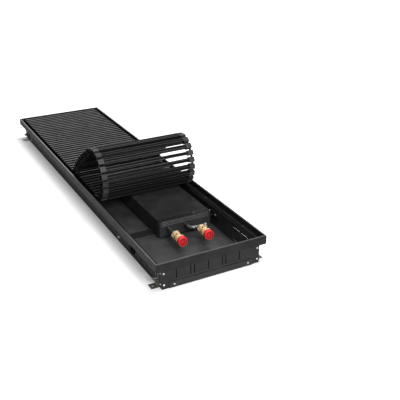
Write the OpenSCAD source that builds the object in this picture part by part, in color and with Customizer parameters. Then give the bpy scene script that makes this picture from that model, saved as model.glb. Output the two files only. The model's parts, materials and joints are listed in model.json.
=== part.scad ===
// Trench convector heater with a roll-up grille.
// X runs across the trough, Y along it with the pipe connections at the low end, Z up.
// The origin is the middle of the footprint on the floor.

/* [Overall] */
// Width over the frame
frame_w = 340; // [310:1:420]
// Length over the frame
frame_l = 1340; // [1250:1:1600]
// Height from the floor to the top of the frame
rim_z = 84; // [81:1:110]

/* [Trough] */
// Thickness of the folded trough sheet
sheet = 1.2; // [0.8:0.1:2]
// Distance from the outside of the frame to the outside of a long wall
wall_inset = 20; // [16:0.5:24]
// Distance from the outside of the frame to the outside of an end tab
end_inset = 5; // [4:0.5:8]
// Height of the riveted tab at each end of the floor
tab_h = 18; // [14:1:24]
// Distance from the outside of a long wall to the end of the end tab
tab_inset = 20; // [12:1:60]
// Width of the turned-out flange that carries the frame
flange_w = 14.5; // [10:0.5:15]
// Width of the turned-in flange at the end of a long wall
end_flange_w = 10; // [8:0.5:14]
// Length of the end plate's side flange
side_flange_l = 16; // [12:0.5:17]

/* [Knock-outs] */
// Width of the slits beside an end plate knock-out
slit_w = 2.8; // [1:0.1:3.5]
// Width of the slits round a knock-out in a long wall
wall_slit_w = 1.5; // [1:0.1:3]
// Width of an end plate knock-out, between the centres of its slits
knock_w = 43; // [30:1:50]
// Gap between an outer knock-out and its neighbour
knock_gap = 11; // [8:0.5:14]
// Height of an end plate knock-out
knock_h = 34; // [20:1:36]
// Height of the knock-outs above the floor
knock_z = 25; // [20:1:30]
// Sideways offset of the end plate knock-outs
knock_x = -11; // [-20:1:20]
// Length of a knock-out in a long wall
wall_knock_w = 45; // [30:1:50]
// Height of a knock-out in a long wall
wall_knock_h = 43; // [25:1:46]
// Height of the wall knock-outs above the floor
wall_knock_z = 7.5; // [5:0.5:12]
// Distance from the frame's near edge to the wall knock-outs
wall_knock_y = 57; // [50:1:60]
// Uncut bridge that holds a knock-out at its corners
bridge = 3.5; // [3:0.5:12]

/* [Frame] */
// Height of the long rails' outer band
band_h = 22.5; // [22.4:0.1:30]
// Height of the end rails' outer band
end_band_h = 26; // [23:0.5:30]
// Thickness of the outer band
band_t = 2; // [1.5:0.1:3]
// Width of the visible top lip
lip_w = 5; // [4:0.5:8]
// Thickness of the top lip
lip_t = 2; // [1.5:0.1:3]
// Thickness of the ledge that carries the grille
ledge_t = 1.5; // [1:0.1:2]
// Reach of the long rails' ledge from their outer face
ledge_reach = 22.5; // [22:0.5:28]
// Reach of the end rails' ledge from their outer face
end_ledge_reach = 9; // [8.5:0.5:14]
// Radius of the rails' top outer edge
rail_round = 0.9; // [0.4:0.1:1.4]

/* [Grille] */
// Distance from one slat to the next
pitch = 20.5; // [19:0.5:23]
// Height of a slat
slat_h = 18; // [16:0.5:18]
// Width of a slat's flanges
slat_w = 10; // [8:0.5:11]
// Thickness of a slat's flanges
slat_flange_t = 1.6; // [1:0.1:2.5]
// Thickness of a slat's web
slat_web_t = 2; // [1.2:0.1:3]
// Depth of the slat tops below the rim
slat_drop = 1; // [0.5:0.1:2]
// Gap between the frame's lip and the ends of the slats
slat_end_gap = 8; // [6:0.5:9]
// Length of the moulded block on a slat's end
block_l = 13; // [9:0.5:16]
// Radius of the hinge eyes
eye_r = 3.5; // [3:0.1:4]
// Thickness of one hinge eye
eye_t = 2.2; // [1.6:0.1:2.6]
// Radius of the hinge pins
eye_pin_r = 1.6; // [1.2:0.1:2]
// Number of slats in the rolled-up part
roll_n = 23; // [23:1:23]

/* [Heat exchanger] */
// Width of the fin pack
pack_w = 172; // [160:1:190]
// Height of the fin pack
pack_h = 50; // [45:1:52]
// Sideways offset of the fin pack
pack_x = 47.5; // [42:0.5:48]
// Distance from the frame's near edge to the exchanger's cover
cover_y = 258; // [250:1:270]
// Length of the cover over the connecting pipes
cover_l = 19; // [19:1:40]
// Distance from the frame's far edge to the end of the fin pack
pack_end = 45; // [42:1:60]
// Distance from one fin to the next
fin_pitch = 6; // [5:0.5:12]
// Thickness of a fin
fin_t = 0.5; // [0.3:0.1:1]
// Radius of the copper tubes
tube_r = 7.5; // [6:0.5:8]
// Wall of the copper tubes
tube_wall = 1; // [0.7:0.1:1.5]
// Distance from one tube to the next
tube_pitch = 38.5; // [36:0.5:44]

/* [Connections] */
// Distance from the frame's near edge to the rear of the valves
valve_y = 209.5; // [205:0.5:212]
// Distance between the two valves
valve_spacing = 86.5; // [80:0.5:92]
// Radius of the connecting pipes
pipe_r = 6; // [5:0.5:7]
// Distance across the flats of the union nuts
nut_af = 24; // [21:0.5:27]
// Length of the union nuts
nut_l = 10; // [8:0.5:14]
// Radius of the valve bodies
valve_r = 12; // [11:0.5:12.5]
// Radius of the neck in front of the valve body
valve_neck_r = 9.5; // [9:0.5:11]
// Length of the valve bodies
valve_l = 24; // [22:0.5:28]
// Distance across the flats of the valve's front collar
collar_af = 27; // [25:0.5:30]
// Length of the front collar
collar_l = 5; // [4:0.5:7]
// Outer radius of the connection thread
thread_r = 13.2; // [10:0.1:13.4]
// Length of the connection thread
thread_l = 9; // [8:0.5:12]
// Wall of the protective caps
cap_wall = 1.3; // [1:0.1:2]
// Thickness of the caps' front
cap_front = 4; // [3:0.5:5]
// Tilt of the spindle ports from the vertical, in degrees
port_tilt = 28; // [0:1:35]
// Radius of the spindle ports
port_r = 6.5; // [6:0.1:7]
// Radius of the valve spindles
spindle_r = 4; // [3:0.1:4.5]
// Radius of the air vent
vent_r = 5.5; // [4.5:0.1:6]

/* [Feet and side entry] */
// Width of a foot bracket
foot_w = 23; // [18:0.5:25]
// Height of a foot bracket
foot_h = 50; // [46:0.5:52]
// Thickness of the bracket steel
foot_t = 2.5; // [2:0.1:3]
// Reach of a foot beyond the frame
foot_out = 4; // [0:0.5:8]
// Distance from the frame's end to the middle of a foot
foot_y = 34; // [34:0.5:60]
// Levelling travel of a foot
foot_travel = 18; // [10:0.5:20]
// Radius of the floor fixing holes
foot_hole_r = 3.25; // [2.5:0.05:4]
// Radius of the clamp bolts
bolt_r = 3; // [2.5:0.1:4]
// Height of the clamp bolts above the floor
bolt_z = 23; // [21:0.5:26]
// Outer radius of the side grommet
grommet_r = 16; // [14:0.5:17]
// Radius of the recess in front of the grommet's closed membrane
grommet_recess_r = 6; // [3:0.5:8]
// Distance from the frame's near edge to the grommet
grommet_y = 201; // [190:1:215]

/* [Hidden] */
$fn = 48;
// Clearances: between pieces that only lie close, of a running fit, and of a seated piece
seat_gap = 0.3;
run_gap = 0.05;
joint_gap = 0.1;
// Overrun of cutting bodies
cut = 1;

// Places of the trough and the frame
half_w = frame_w / 2;
half_l = frame_l / 2;
near_y = -half_l;
wall_x = half_w - wall_inset;
inner_x = wall_x - sheet;
plate_y = half_l - end_inset - sheet;
wall_end_y = plate_y - sheet;
grille_top = rim_z - slat_drop;
strip_t = 1;
ledge_top = grille_top - slat_h - seat_gap - strip_t;
ledge_z = ledge_top - ledge_t;
flange_z = ledge_z - sheet;
flange_x = wall_x + flange_w;
side_flange_top = flange_z - sheet;
tab_half = wall_x - tab_inset;

// Rivets and screws
rivet_r = 1.6;
rivet_head_r = 3;
rivet_head_h = 1.4;
rivet_tail_r = 2.4;
rivet_tail_h = 0.8;
rivet_dimple_r = 0.75;
rivet_hole_r = rivet_r + run_gap;
corner_rivet_x = wall_x - end_flange_w / 2;
rivet_high_share = 0.8;
rivet_low_share = 0.22;
rivet_high_z = side_flange_top * rivet_high_share;
rivet_low_z = side_flange_top * rivet_low_share;
side_rivet_y = plate_y - side_flange_l * 0.58;
tab_rivet_x = tab_half * 0.88;
tab_rivet_z = tab_h / 2;
screw_r = 2;
screw_head_r = 3.8;
screw_head_h = 1.4;
screw_x = half_w - 8.5 * (wall_inset / 20);
screw_n = 6;

// Places of the grille
slat_mid_z = grille_top - slat_h / 2;
hinge_up = slat_h / 2 - eye_r;
hinge_z = slat_mid_z + hinge_up;
slat_n = floor((frame_l - 2 * end_ledge_reach) / pitch);
grille_margin = (frame_l - slat_n * pitch) / 2;
first_slat_y = near_y + grille_margin + pitch / 2;
roll_y = near_y + grille_margin + roll_n * pitch;
link_end = half_w - lip_w - slat_end_gap;
eye_out = link_end - eye_t;
eye_in = eye_out - seat_gap - eye_t;
block_end = eye_in - seat_gap;
block_start = block_end - block_l;
block_side = 3;
block_w = slat_w + 2 * block_side;
block_top = slat_h / 2 - slat_flange_t - joint_gap;
body_top = hinge_up - eye_r - seat_gap;
neck_w = slat_w * 0.8;
strip_w = 8;

// Turn at each hinge of the rolled part, as shares of the whole turn, from the flat part on
curl_turn_shares = [
    9, 13, 19, 23, 23, 18, 15, 14, 17, 23, 25, 23, 13, 3, 2, 2, 2, 2, 2, 2, 2, 2, 2
];
curl_turn_low = 195;
curl_turn_high = 265;
curl_steps = 30;

function total(list, n) = n <= 0 ? 0 : list[n - 1] + total(list, n - 1);
curl_turn_sum = total(curl_turn_shares, roll_n);
function heading(i, turn) = turn * total(curl_turn_shares, i + 1) / curl_turn_sum;
function hinge_at(i, turn) =
    i == 0 ? [roll_y, hinge_z]
           : hinge_at(i - 1, turn)
             + pitch * [-cos(heading(i - 1, turn)), sin(heading(i - 1, turn))];
function corner_z(mid, angle, up, ahead) = mid + up * cos(angle) + ahead * sin(angle);
function tip_low(turn) =
    let (
        angle = heading(roll_n - 1, turn),
        mid = hinge_at(roll_n - 1, turn)[1] + pitch / 2 * sin(angle)
    )
    min(corner_z(mid, angle, slat_h / 2 - hinge_up, slat_w / 2),
        corner_z(mid, angle, block_top - hinge_up, block_w / 2));
// The whole turn is solved so that the last slat lies on the flat part of the grille
function curl_turn(low, high, steps) =
    let (mid = (low + high) / 2)
    steps == 0 ? mid
        : tip_low(mid) > grille_top + seat_gap ? curl_turn(mid, high, steps - 1)
                                               : curl_turn(low, mid, steps - 1);
whole_turn = curl_turn(curl_turn_low, curl_turn_high, curl_steps);
function link_name(i) = str("grille_link_", i < 10 ? "0" : "", i);

// Places of the heat exchanger
pack_z = 8;
axis_z = pack_z + pack_h * 0.52;
pack_low_x = pack_x - pack_w / 2;
pack_high_x = pack_x + pack_w / 2;
cover_front = near_y + cover_y;
cover_back = cover_front + cover_l;
pack_back = half_l - pack_end;
pack_plate_t = 1.5;
fins_start = cover_back + pack_plate_t;
fins_stop = pack_back - pack_plate_t;
fin_n = floor((fins_stop - fins_start) / fin_pitch);
fin_first = (fins_start + fins_stop - (fin_n - 1) * fin_pitch) / 2;
tube_x = [for (i = [-1.5, -0.5, 0.5, 1.5]) pack_x + i * tube_pitch];
tube_out = 3;
header_y = cover_front + cover_l / 2;
supply_header_z = pack_z + tube_r + sheet;
stub_end = cover_front + sheet * 0.6;
stand_h = pack_z - sheet;
stand_w = 24;
stand_near_y = cover_back + 32;
stand_far_y = pack_back - 40;
stand_tab_h = 42;
stand_tab_lead = 16;
stand_tab_edge = 5;
stand_left_tab_h = 12;
stand_screw_z = pack_z + stand_tab_h * 0.84;
stand_left_screw_z = pack_z + stand_left_tab_h / 2;
bracket_l = 32;
bracket_h = 14;
bracket_z = pack_z + pack_h - bracket_h - 8;
bracket_screw_y = cover_front - 8;
bracket_screw_z = bracket_z + bracket_h / 2;
wall_screw_r = 2;
wall_screw_hole_r = wall_screw_r + run_gap;
wall_screw_head_r = 3.6;
wall_screw_head_h = 2;
wall_screw_tail = 3;
bead_r = 1.6;
bead_h_shares = [0.92, 0.81, 0.7];
bead_margin = 8;
plug_r = 5;
plug_h = 1.2;
plug_x = pack_x + pack_w * 0.2;
plug_y = cover_front + cover_l * 0.55;

// Places of the connections
supply_x = tube_x[0];
return_x = supply_x + valve_spacing;
valve_back = near_y + valve_y;
pipe_in = 7;
bend_r = (return_x - pack_x) / 2;
bend_end = valve_back + joint_gap;
bend_start = bend_end + 2 * bend_r;
port_l = 14.5;
valve_neck_l = valve_l * 0.34;
port_y = valve_back - nut_l - (valve_l - valve_neck_l) / 2 - 2;
port_bore_l = 8;
spindle_l = 6.5;
socket_af = 4;
socket_l = 3;
thread_turns = 6;
thread_depth = 0.8;
thread_bore_r = 8;
thread_bore_l = 12;
vent_x = return_x + 6;
vent_y = valve_back - nut_l - vent_r;
vent_seat_z = axis_z + valve_r + 1;
vent_h = 8;
bleed_r = 2.2;
bleed_h = 4;
bleed_out = 1.2;
slot_w = 0.8;
slot_l = 0.8;
cap_gap = 0.3;
cap_r = thread_r + cap_gap + cap_wall;
cap_recess_r = cap_r - 3.2;
cap_recess = 2.2;
cap_round = 1.2;
cap_ring_r = 5.6;
cap_ring_t = 1.5;

// Places of the feet and the grommet
foot_gap = seat_gap;
foot_back = wall_x + foot_gap;
foot_reach = half_w + foot_out;
foot_bend_r = foot_t + 2;
foot_corner = 6;
foot_hole_x = half_w - 5;
foot_low_hole_r = 2.4;
foot_low_hole_z = 11;
slot_r = bolt_r + seat_gap;
foot_mid_y = half_l - foot_y;
bolt_head_r = 5.5;
bolt_head_h = 3;
bolt_tip = wall_x + 14.5;
washer_r = 7.5;
washer_t = 1.2;
washer_x = foot_back + foot_t + seat_gap;
wing_hub_r = 5.2;
wing_hub_h = 5.5;
wing_t = 2;
wing_reach = 11;
wing_rise = 7.5;
grommet_mid_y = near_y + grommet_y;
grommet_z = 28;
grommet_hole_r = grommet_r * 0.8;
grommet_neck_r = grommet_hole_r - joint_gap;
grommet_face = 4;
grommet_back = 2;
grommet_back_r = grommet_r * 0.93;
membrane_t = 1;

// Cross braces under the flat part of the grille
brace_w = 12;
brace_h_most = 8;
brace_h = min(brace_h_most, ledge_z - pack_z - pack_h - 2 * seat_gap);
brace_t = brace_h / 3;
brace_y_shares = [0.12, 0.58];

// Colours
lacquer = "#232426";
lacquer_light = "#303134";
moulding = "#1b1c1d";
copper = "#b87447";
brass_tone = "#c9a55a";
zinc = "#a9a79c";
cap_red = "#e02a33";
chrome_tone = "#cfd2d4";

// Extrudes an X-Z outline along Y, centred
module along_y(length) {
    rotate([90, 0, 0]) linear_extrude(height = length, center = true) children();
}

// Extrudes a Y-Z outline along X, centred
module along_x(length) {
    rotate([90, 0, 90]) linear_extrude(height = length, center = true) children();
}

// A box given by its two corners
module block(low, high) {
    translate(low) cube(high - low);
}

// A cylinder along X from x0 to x1
module rod_x(x0, x1, y, z, r) {
    translate([x0, y, z]) rotate([0, 90, 0]) cylinder(r = r, h = x1 - x0);
}

// A cylinder along Y from y0 to y1
module rod_y(y0, y1, x, z, r) {
    translate([x, y0, z]) rotate([-90, 0, 0]) cylinder(r = r, h = y1 - y0);
}

// A hexagonal prism along Y from y0 to y1, given by its width across flats
module hex_y(y0, y1, x, z, af) {
    translate([x, y0, z]) rotate([-90, 0, 0]) cylinder(d = af / cos(30), h = y1 - y0, $fn = 6);
}

module both_ends() {
    children();
    mirror([0, 1, 0]) children();
}

module both_sides() {
    children();
    mirror([1, 0, 0]) children();
}

// Points of an arc, with a step of 90 degrees over four chords
function arc(x, y, r, from, to) =
    [for (k = [0 : 4]) let (a = from + (to - from) * k / 4) [x + r * cos(a), y + r * sin(a)]];

// Trough

module trough_section() {
    polygon([
        [-wall_x, 0], [wall_x, 0],
        [wall_x, flange_z], [flange_x, flange_z], [flange_x, ledge_z],
        [inner_x, ledge_z], [inner_x, sheet],
        [-inner_x, sheet], [-inner_x, ledge_z],
        [-flange_x, ledge_z], [-flange_x, flange_z], [-wall_x, flange_z]
    ]);
}

// The upright slits of a row of knock-outs, drawn flat
module slits(widths_at, width, height, across) {
    for (x = widths_at) {
        translate([x - across / 2, 0]) square([across, height]);
        translate([x + width - across / 2, 0]) square([across, height]);
    }
}

module wall_slits() {
    start = near_y + wall_knock_y;
    translate([0, 0, wall_knock_z])
        rotate([90, 0, 90])
            translate([0, 0, -half_w])
                linear_extrude(height = frame_w) {
                    slits([start, start + wall_knock_w], wall_knock_w, wall_knock_h, wall_slit_w);
                    for (k = [0, 1]) {
                        translate([start + k * wall_knock_w + bridge, 0])
                            square([wall_knock_w - 2 * bridge, wall_slit_w]);
                        translate([start + k * wall_knock_w + bridge, wall_knock_h - wall_slit_w])
                            square([wall_knock_w - 2 * bridge, wall_slit_w]);
                    }
                }
}

module trough() {
    color(lacquer)
        difference() {
            union() {
                along_y(2 * wall_end_y) trough_section();
                both_ends() {
                    block([-tab_half, wall_end_y - cut, 0], [tab_half, plate_y + sheet, sheet]);
                    block([-tab_half, plate_y, 0], [tab_half, plate_y + sheet, tab_h]);
                    both_sides()
                        block([inner_x - end_flange_w, wall_end_y - sheet, 0],
                              [wall_x, wall_end_y, flange_z]);
                }
            }
            wall_slits();
            both_ends() {
                for (z = [rivet_low_z, rivet_high_z]) {
                    rod_x(-half_w, half_w, side_rivet_y, z, rivet_hole_r);
                    both_sides() rod_y(wall_end_y - 2 * cut, half_l, corner_rivet_x, z, rivet_hole_r);
                }
                both_sides() rod_y(plate_y - cut, half_l, tab_rivet_x, tab_rivet_z, rivet_hole_r);
                rod_x(-half_w, half_w, foot_mid_y, bolt_z, slot_r);
            }
            rod_x(-half_w, -inner_x + cut, grommet_mid_y, grommet_z, grommet_hole_r);
            both_sides() for (y = screw_places()) translate([screw_x, y, 0])
                cylinder(r = screw_r, h = rim_z);
            for (y = [stand_near_y, stand_far_y]) {
                rod_x(inner_x - cut, half_w, tab_screw_y(y), stand_screw_z, wall_screw_hole_r);
                rod_x(-half_w, -inner_x + cut, y, stand_left_screw_z, wall_screw_hole_r);
            }
            rod_x(inner_x - cut, half_w, bracket_screw_y, bracket_screw_z, wall_screw_hole_r);
        }
}

// End plates

module end_plate_slits() {
    outer = knock_x - 1.5 * knock_w - knock_gap - knock_w / 2;
    places = [outer, outer + knock_w + knock_gap, knock_x, knock_x + knock_w + knock_gap];
    translate([0, half_l, knock_z])
        rotate([90, 0, 0])
            linear_extrude(height = end_inset + 3 * sheet)
                slits(places, knock_w, knock_h, slit_w);
}

module end_plate() {
    color(lacquer_light)
        difference() {
            union() {
                block([-wall_x - sheet, wall_end_y, sheet], [wall_x + sheet, plate_y, ledge_z]);
                both_sides()
                    block([wall_x, plate_y - side_flange_l, sheet],
                          [wall_x + sheet, plate_y, side_flange_top]);
            }
            end_plate_slits();
            for (z = [rivet_low_z, rivet_high_z]) {
                rod_x(-half_w, half_w, side_rivet_y, z, rivet_hole_r);
                both_sides() rod_y(wall_end_y - cut, half_l, corner_rivet_x, z, rivet_hole_r);
            }
            both_sides() rod_y(wall_end_y - cut, half_l, tab_rivet_x, tab_rivet_z, rivet_hole_r);
        }
}

module near_end_plate() {
    mirror([0, 1, 0]) end_plate();
}

module far_end_plate() {
    end_plate();
}

// A rivet along +Z with its domed head above the sheets of thickness grip
module rivet(grip) {
    rotate_extrude()
        polygon(concat(
            [[0, -grip - rivet_tail_h], [rivet_tail_r, -grip - rivet_tail_h], [rivet_tail_r, -grip],
             [rivet_r, -grip], [rivet_r, 0], [rivet_head_r, 0]],
            [for (a = [15 : 20 : 75]) [rivet_head_r * cos(a), rivet_head_h * sin(a)]],
            [[rivet_dimple_r, rivet_head_h * 0.5], [0, rivet_head_h * 0.5]]
        ));
}

module end_plate_rivets() {
    color(zinc)
        both_ends() both_sides() {
            for (z = [rivet_low_z, rivet_high_z]) {
                translate([corner_rivet_x, plate_y, z]) rotate([-90, 0, 0]) rivet(2 * sheet);
                translate([wall_x + sheet, side_rivet_y, z]) rotate([0, 90, 0]) rivet(2 * sheet);
            }
            translate([tab_rivet_x, plate_y + sheet, tab_rivet_z]) rotate([-90, 0, 0]) rivet(2 * sheet);
        }
}

// Frame

// F-shaped rail section: x inward from the outer face, y up from the rim
module rail_section(height, reach) {
    ledge = ledge_top - rim_z;
    polygon(concat(
        arc(rail_round, -rail_round, rail_round, 180, 90),
        [[lip_w, 0], [lip_w, -lip_t], [band_t, -lip_t], [band_t, ledge],
         [reach, ledge], [reach, ledge - ledge_t], [band_t, ledge - ledge_t],
         [band_t, -height], [0, -height]]
    ));
}

// Plan of a rail at the low-X side: mitred over the end rail's ledge, then straight
module rail_plan(length, mitre, reach) {
    polygon([
        [0, joint_gap], [mitre, mitre + joint_gap], [reach, mitre + joint_gap],
        [reach, length - mitre - joint_gap], [mitre, length - mitre - joint_gap], [0, length - joint_gap]
    ]);
}

// Screws are spread evenly along the long rails
function screw_places() =
    [for (k = [0 : screw_n - 1]) -half_l + frame_l * (k + 0.5) / screw_n];

module long_rail() {
    color(lacquer_light)
        difference() {
            intersection() {
                translate([-half_w, 0, rim_z]) along_y(frame_l) rail_section(band_h, ledge_reach);
                translate([-half_w, -half_l, 0])
                    linear_extrude(height = rim_z + cut)
                        rail_plan(frame_l, end_ledge_reach, ledge_reach + cut);
            }
            for (y = screw_places()) translate([-screw_x, y, ledge_z]) {
                translate([0, 0, -cut]) cylinder(r = screw_r, h = ledge_t + 2 * cut);
                translate([0, 0, ledge_t - screw_head_h])
                    cylinder(r1 = screw_r, r2 = screw_head_r, h = screw_head_h);
            }
        }
}

module left_frame_rail() {
    long_rail();
}

module right_frame_rail() {
    mirror([1, 0, 0]) long_rail();
}

module end_rail() {
    color(lacquer_light)
        intersection() {
            translate([0, -half_l, rim_z]) along_x(frame_w) rail_section(end_band_h, end_ledge_reach);
            translate([0, -half_l, 0])
                linear_extrude(height = rim_z + cut)
                    polygon([
                        [-half_w + joint_gap, 0], [half_w - joint_gap, 0],
                        [half_w - end_ledge_reach - joint_gap, end_ledge_reach],
                        [-half_w + end_ledge_reach + joint_gap, end_ledge_reach]
                    ]);
        }
}

module near_frame_rail() {
    end_rail();
}

module far_frame_rail() {
    mirror([0, 1, 0]) end_rail();
}

key_leg = 14;
key_t = 1.5;
key_h = 9;

module frame_corner_keys() {
    color(zinc)
        both_ends() both_sides()
            translate([0, 0, rim_z - lip_t - key_h])
                linear_extrude(height = key_h)
                    polygon([
                        [half_w - band_t, half_l - band_t], [half_w - band_t - key_leg, half_l - band_t],
                        [half_w - band_t - key_leg, half_l - band_t - key_t],
                        [half_w - band_t - key_t, half_l - band_t - key_t],
                        [half_w - band_t - key_t, half_l - band_t - key_leg],
                        [half_w - band_t, half_l - band_t - key_leg]
                    ]);
}

module frame_screws() {
    shank_r = screw_r - run_gap;
    color(moulding)
        both_sides()
            for (y = screw_places()) translate([screw_x, y, ledge_z + ledge_t - screw_head_h])
                rotate_extrude()
                    polygon([
                        [0, -2 * sheet - screw_head_h], [shank_r, -2 * sheet - screw_head_h],
                        [shank_r, 0], [screw_head_r - run_gap, screw_head_h], [0, screw_head_h]
                    ]);
}

module grille_rest_strips() {
    color(moulding)
        both_sides()
            block([inner_x, -half_l + end_ledge_reach + seat_gap, ledge_top],
                  [inner_x + strip_w, half_l - end_ledge_reach - seat_gap, ledge_top + strip_t]);
}

module trough_cross_braces() {
    flat_l = half_l - roll_y;
    color(lacquer)
        for (share = brace_y_shares)
            translate([0, roll_y + flat_l * share, ledge_z - seat_gap])
                along_x(2 * inner_x)
                    polygon([
                        [-brace_w / 2, 0], [brace_w / 2, 0], [brace_w / 2, -brace_t],
                        [-brace_w / 2 + sheet, -brace_t], [-brace_w / 2 + sheet, -brace_h],
                        [-brace_w / 2, -brace_h]
                    ]);
}

// Grille

// Slat section, centred on the hinge height
module slat_section() {
    side = slat_w / 2;
    web = slat_web_t / 2;
    top = slat_h / 2;
    inside = top - slat_flange_t;
    polygon([
        [-side, top - slat_flange_t / 2], [-side + slat_flange_t / 2, top],
        [side - slat_flange_t / 2, top], [side, top - slat_flange_t / 2],
        [side, inside], [web, inside], [web, -inside], [side, -inside], [side, -top],
        [-side, -top], [-side, -inside], [-web, -inside], [-web, inside], [-side, inside]
    ]);
}

// One slat, its lower flange cut away where the moulded blocks sit
module slat() {
    low = -slat_h / 2;
    difference() {
        along_x(2 * block_end) slat_section();
        both_sides()
            block([block_start, -slat_w / 2 - cut, low - cut],
                  [block_end + cut, slat_w / 2 + cut, low + slat_flange_t + joint_gap]);
    }
}

// Moulded end block at the high-X end of a slat, its two hinge eyes level with the slat's top.
// The eye ahead lies inside and carries a pin, the eye behind lies outside and is bored.
module end_link(has_ahead, has_behind) {
    arm_top = hinge_up + eye_r / 2;
    half = block_w / 2;
    web = slat_web_t / 2 + joint_gap;
    low = -slat_h / 2;
    web_low = low + slat_flange_t;
    translate([(block_start + block_end) / 2, 0, 0])
        along_x(block_l)
            polygon([
                [-half, low], [half, low], [half, block_top], [web, block_top], [web, web_low],
                [-web, web_low], [-web, block_top], [-half, block_top]
            ]);
    difference() {
        union() {
            block([block_end, -half, low], [link_end, half, body_top]);
            block([block_end, -neck_w / 2, low], [link_end, neck_w / 2, slat_h / 2 - joint_gap]);
            if (has_ahead) {
                block([eye_in, -pitch / 2, body_top], [eye_in + eye_t, 0, arm_top]);
                rod_x(eye_in, eye_in + eye_t, -pitch / 2, hinge_up, eye_r);
                rod_x(eye_in, link_end, -pitch / 2, hinge_up, eye_pin_r);
            }
            if (has_behind) {
                block([eye_out, 0, body_top], [link_end, pitch / 2, arm_top]);
                rod_x(eye_out, link_end, pitch / 2, hinge_up, eye_r);
            }
        }
        if (has_behind) rod_x(eye_out - cut, link_end + cut, pitch / 2, hinge_up, eye_pin_r + run_gap);
    }
}

module grille_link(i) {
    index = i - 1;
    place = hinge_at(index, whole_turn);
    color(lacquer_light)
        translate([0, place[0], place[1]])
            rotate([-heading(index, whole_turn), 0, 0])
                translate([0, -pitch / 2, -hinge_up]) {
                    slat();
                    both_sides() end_link(i < roll_n, true);
                }
}

module flat_grille_slats() {
    color(lacquer_light)
        for (k = [roll_n : slat_n - 1])
            translate([0, first_slat_y + k * pitch, slat_mid_z]) slat();
}

module flat_grille_end_links() {
    color(moulding)
        for (k = [roll_n : slat_n - 1])
            translate([0, first_slat_y + k * pitch, slat_mid_z])
                both_sides() end_link(true, k < slat_n - 1);
}

// Heat exchanger

module tube_holes(y0, y1) {
    for (x = tube_x) rod_y(y0, y1, x, axis_z, tube_r + run_gap);
}

module exchanger_fins() {
    color(lacquer)
        for (k = [0 : fin_n - 1]) {
            y = fin_first + k * fin_pitch;
            difference() {
                block([pack_low_x, y - fin_t / 2, pack_z], [pack_high_x, y + fin_t / 2, pack_z + pack_h]);
                tube_holes(y - cut, y + cut);
            }
        }
}

module exchanger_end_plates() {
    color(lacquer)
        for (y = [cover_back, fins_stop])
            difference() {
                block([pack_low_x, y, pack_z], [pack_high_x, y + pack_plate_t, pack_z + pack_h]);
                tube_holes(y - cut, y + pack_plate_t + cut);
            }
}

module tube_bend(x) {
    translate([x, pack_back + tube_out, axis_z])
        rotate_extrude(angle = 180) translate([tube_pitch / 2, 0]) circle(r = tube_r);
}

module exchanger_copper_circuit() {
    tube_end = pack_back + tube_out;
    color(copper)
        difference() {
            union() {
                for (x = [tube_x[1], tube_x[2]]) rod_y(header_y, tube_end, x, axis_z, tube_r);
                for (x = [tube_x[0], tube_x[3]]) {
                    rod_y(header_y, tube_end, x, axis_z, tube_r);
                    translate([x, header_y, supply_header_z])
                        cylinder(r = tube_r, h = axis_z - supply_header_z + tube_r);
                }
                rod_x(tube_x[1], tube_x[2], header_y, axis_z, tube_r);
                rod_x(tube_x[0], tube_x[3], header_y, supply_header_z, tube_r);
                tube_bend(pack_x - tube_pitch);
                tube_bend(pack_x + tube_pitch);
                rod_y(stub_end, header_y, supply_x, axis_z, pipe_r);
                rod_y(stub_end, header_y, pack_x, axis_z, pipe_r);
            }
            for (x = tube_x) rod_y(cover_back, pack_back, x, axis_z, tube_r - tube_wall);
        }
}

module exchanger_cover() {
    color(lacquer)
        difference() {
            union() {
                block([pack_low_x, cover_front, pack_z], [pack_high_x, cover_back, pack_z + pack_h]);
                for (share = bead_h_shares)
                    rod_x(pack_low_x + bead_margin, pack_high_x - bead_margin,
                          cover_front, pack_z + pack_h * share, bead_r);
                translate([plug_x, plug_y, pack_z + pack_h]) cylinder(r = plug_r, h = plug_h);
            }
            block([pack_low_x + sheet, cover_front + sheet, pack_z - cut],
                  [pack_high_x - sheet, cover_back + cut, pack_z + pack_h - sheet]);
            for (x = [supply_x, pack_x])
                rod_y(cover_front - 2 * bead_r, cover_front + sheet + cut, x, axis_z, pipe_r + 1);
        }
}

// The stand's tab on the high-X wall starts ahead of the stand and is screwed near its front edge
function tab_start(y) = y - stand_w / 2 - stand_tab_lead;
function tab_screw_y(y) = tab_start(y) + stand_tab_edge;

module stand(y) {
    half = stand_w / 2;
    translate([0, y, sheet])
        along_x(2 * inner_x)
            polygon([
                [-half, 0], [-half, stand_h], [half, stand_h], [half, 0], [half - sheet, 0],
                [half - sheet, stand_h - sheet], [-half + sheet, stand_h - sheet], [-half + sheet, 0]
            ]);
    difference() {
        union() {
            block([inner_x - sheet, tab_start(y), pack_z], [inner_x, y + half, pack_z + stand_tab_h]);
            block([-inner_x, y - half, pack_z], [-inner_x + sheet, y + half, pack_z + stand_left_tab_h]);
        }
        rod_x(inner_x - sheet - cut, inner_x + cut, tab_screw_y(y), stand_screw_z, wall_screw_hole_r);
        rod_x(-inner_x - cut, -inner_x + sheet + cut, y, stand_left_screw_z, wall_screw_hole_r);
    }
}

module cover_bracket() {
    y0 = bracket_screw_y - bracket_l / 2;
    difference() {
        union() {
            block([inner_x - sheet, y0, bracket_z], [inner_x, y0 + bracket_l, bracket_z + bracket_h]);
            block([pack_high_x, y0 + bracket_l - sheet, bracket_z],
                  [inner_x, y0 + bracket_l, bracket_z + bracket_h / 2]);
        }
        rod_x(inner_x - sheet - cut, inner_x + cut, bracket_screw_y, bracket_screw_z,
              wall_screw_hole_r);
    }
}

module exchanger_brackets() {
    color(lacquer_light) {
        stand(stand_near_y);
        stand(stand_far_y);
        cover_bracket();
    }
}

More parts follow.
